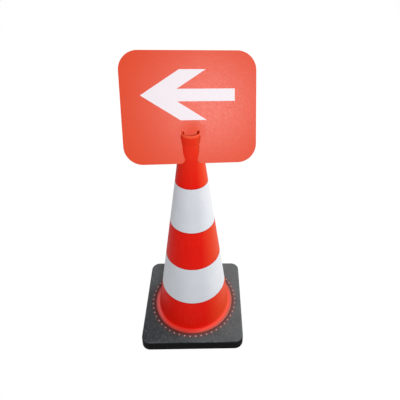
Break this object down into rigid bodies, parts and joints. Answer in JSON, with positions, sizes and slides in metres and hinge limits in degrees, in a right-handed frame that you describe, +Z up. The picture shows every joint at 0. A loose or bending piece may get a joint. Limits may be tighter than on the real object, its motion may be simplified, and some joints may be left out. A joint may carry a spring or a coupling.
{
  "type": "traffic cone with a slip-on direction sign",
  "caption": "Hollow road cone on a square weighted base, banded with reflective sleeves, with a flat arrow sign whose slit lower edge slips over the cone's open top and lifts off.",
  "frame": {"origin": "on the ground under the cone's axis, at the centre of the base's underside", "axes": "+Z up along the cone's axis, -Y the way the sign faces, +X to the right as seen facing the sign; the base stands turned 4.2 degrees under the sign"},
  "size_m": [0.366, 0.366, 0.9321],
  "materials": {
    "base_rubber": "matte",
    "cone_pvc": "semi-gloss",
    "reflective_sleeve": "semi-gloss",
    "sign_sheet": "satin",
    "arrow_film": "satin"
  },
  "bodies": {
    "cone": {"base": "base_rubber", "cone_shell": "cone_pvc", "lower_band": "reflective_sleeve", "upper_band": "reflective_sleeve"},
    "sign": {"sign_panel": "sign_sheet", "arrow_film": "arrow_film"}
  },
  "joints": [
    {"name": "sign_lift", "type": "slide", "parent": "cone", "child": "sign", "axis": [0, 0, 1], "range_m": [0, 0.1]}
  ]
}
